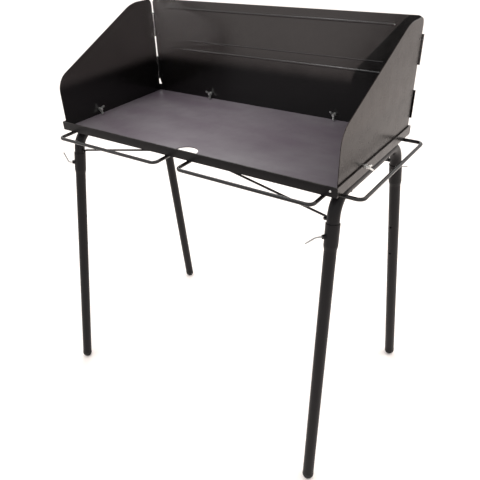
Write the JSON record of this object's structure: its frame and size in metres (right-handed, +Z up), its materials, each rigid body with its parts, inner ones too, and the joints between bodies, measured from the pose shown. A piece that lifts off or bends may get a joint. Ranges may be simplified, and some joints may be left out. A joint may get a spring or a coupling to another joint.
{
  "type": "dutch oven cook table",
  "caption": "Free-standing steel cook table: loose plate in a rimmed angle frame, hinged folding windscreen, rod rails, and folding tube legs with push-on lower legs and wire braces",
  "frame": {"origin": "on the floor, under the middle of the whole table's bounding box; the angle frame's own middle is at x = -0.00797 because a rail stands out on one side only", "axes": "+Z up, -Y is the open front where the cook stands, +X is the side with the rail"},
  "size_m": [1.007, 0.6736, 1.187],
  "materials": {
    "black": "semi-gloss black paint",
    "screen_black": "semi-gloss black paint",
    "plate_grey": "satin dark grey",
    "zinc": "bright zinc plating",
    "cap": "matte black"
  },
  "bodies": {
    "frame": {"frame_front": "black", "frame_rear": "black", "frame_left": "black", "frame_right": "black", "rim_rivet": "zinc", "front_left_rail": "black", "front_right_rail": "black", "side_rail": "black", "pivot_plates_left": "black", "pivot_plates_right": "black", "brace_guide_front": "black", "brace_guide_rear": "black", "rim_nut_right": "zinc"},
    "plate": {"cook_plate": "plate_grey"},
    "screen": {"back_panel": "screen_black", "back_hinge_leaves": "screen_black", "hinge_backing": "screen_black", "hinge_pins": "zinc", "back_hinge_rivets": "screen_black", "screen_nuts_back": "zinc"},
    "left_wing": {"left_wing": "screen_black", "left_hinge_leaves": "screen_black", "left_hinge_rivets": "screen_black", "screen_nut_left": "zinc"},
    "right_wing": {"right_wing": "screen_black", "right_hinge_leaves": "screen_black", "right_hinge_rivets": "screen_black"},
    "left_leg_frame": {"leg_frame_left": "black"},
    "right_leg_frame": {"leg_frame_right": "black"},
    "left_braces": {"brace_front_left": "black", "brace_rear_left": "black"},
    "right_braces": {"brace_front_right": "black", "brace_rear_right": "black"},
    "leg_fl": {"lower_leg_fl": "black", "leg_nut_fl": "black", "foot_fl": "cap"},
    "leg_fr": {"lower_leg_fr": "black", "leg_nut_fr": "black", "foot_fr": "cap"},
    "leg_rl": {"lower_leg_rl": "black", "leg_nut_rl": "black", "foot_rl": "cap"},
    "leg_rr": {"lower_leg_rr": "black", "leg_nut_rr": "black", "foot_rr": "cap"},
    "leg_screw_fl": {"leg_screw_fl": "zinc"},
    "leg_screw_fr": {"leg_screw_fr": "zinc"},
    "leg_screw_rl": {"leg_screw_rl": "zinc"},
    "leg_screw_rr": {"leg_screw_rr": "zinc"},
    "wing_screw_back_left": {"wing_screw_back_left": "zinc"},
    "wing_screw_back_right": {"wing_screw_back_right": "zinc"},
    "wing_screw_left": {"wing_screw_left": "zinc"},
    "wing_screw_right": {"wing_screw_right": "zinc"}
  },
  "joints": [
    {"name": "plate_lift", "type": "slide", "parent": "frame", "child": "plate", "axis": [0, 0, 1], "range_m": [0, 0.04]},
    {"name": "screen_lift", "type": "slide", "parent": "plate", "child": "screen", "axis": [0, 0, 1], "range_m": [0, 0.06]},
    {"name": "left_wing_fold", "type": "hinge", "parent": "screen", "child": "left_wing", "pos_m": [-0.45698, 0.22, 1.047], "axis": [0, 0, 1], "range_deg": [0, 80]},
    {"name": "right_wing_fold", "type": "hinge", "parent": "screen", "child": "right_wing", "pos_m": [0.44103, 0.22, 1.047], "axis": [0, 0, -1], "range_deg": [0, 80]},
    {"name": "left_leg_fold", "type": "hinge", "parent": "frame", "child": "left_leg_frame", "pos_m": [-0.44498, 0, 0.8657], "axis": [0, -1, 0], "range_deg": [0, 80]},
    {"name": "right_leg_fold", "type": "hinge", "parent": "frame", "child": "right_leg_frame", "pos_m": [0.42902, 0, 0.8657], "axis": [0, 1, 0], "range_deg": [0, 70]},
    {"name": "left_brace_swing", "type": "hinge", "parent": "left_leg_frame", "child": "left_braces", "pos_m": [-0.42742, 0, 0.80845], "axis": [0, 1, 0], "range_deg": [0, 91]},
    {"name": "right_brace_swing", "type": "hinge", "parent": "right_leg_frame", "child": "right_braces", "pos_m": [0.41147, 0, 0.80845], "axis": [0, -1, 0], "range_deg": [0, 79.3]},
    {"name": "leg_fl_pull", "type": "slide", "parent": "left_leg_frame", "child": "leg_fl", "axis": [-0.0491, -0.1521, -0.9871], "range_m": [0, 0.035]},
    {"name": "leg_fr_pull", "type": "slide", "parent": "right_leg_frame", "child": "leg_fr", "axis": [0.0491, -0.1521, -0.9871], "range_m": [0, 0.035]},
    {"name": "leg_rl_pull", "type": "slide", "parent": "left_leg_frame", "child": "leg_rl", "axis": [-0.0491, 0.1521, -0.9871], "range_m": [0, 0.035]},
    {"name": "leg_rr_pull", "type": "slide", "parent": "right_leg_frame", "child": "leg_rr", "axis": [0.0491, 0.1521, -0.9871], "range_m": [0, 0.035]},
    {"name": "leg_screw_fl_turn", "type": "hinge", "parent": "leg_fl", "child": "leg_screw_fl", "pos_m": [-0.44979, -0.20441, 0.76896], "axis": [-0.595, -0.7893, 0.1513], "continuous": true},
    {"name": "leg_screw_fr_turn", "type": "hinge", "parent": "leg_fr", "child": "leg_screw_fr", "pos_m": [0.43384, -0.20441, 0.76896], "axis": [-0.6071, -0.7893, 0.0914], "continuous": true},
    {"name": "leg_screw_rl_turn", "type": "hinge", "parent": "leg_rl", "child": "leg_screw_rl", "pos_m": [-0.44979, 0.20441, 0.76896], "axis": [0.2992, 0.9452, 0.1308], "continuous": true},
    {"name": "leg_screw_rr_turn", "type": "hinge", "parent": "leg_rr", "child": "leg_screw_rr", "pos_m": [0.43384, 0.20441, 0.76896], "axis": [-0.2992, 0.9452, 0.1308], "continuous": true},
    {"name": "wing_screw_back_left_turn", "type": "hinge", "parent": "screen", "child": "wing_screw_back_left", "pos_m": [-0.23197, 0.2225, 0.904], "axis": [0, -1, 0], "continuous": true},
    {"name": "wing_screw_back_right_turn", "type": "hinge", "parent": "screen", "child": "wing_screw_back_right", "pos_m": [0.22403, 0.2225, 0.904], "axis": [0, -1, 0], "continuous": true},
    {"name": "wing_screw_left_turn", "type": "hinge", "parent": "left_wing", "child": "wing_screw_left", "pos_m": [-0.45948, -0.08, 0.904], "axis": [1, 0, 0], "continuous": true},
    {"name": "wing_screw_right_turn", "type": "hinge", "parent": "frame", "child": "wing_screw_right", "pos_m": [0.44903, -0.08, 0.904], "axis": [1, 0, 0], "continuous": true}
  ],
  "couplings": [
    {"joint": "left_brace_swing", "follows": "left_leg_fold", "ratio": 1.1366},
    {"joint": "right_brace_swing", "follows": "right_leg_fold", "ratio": 1.131}
  ]
}
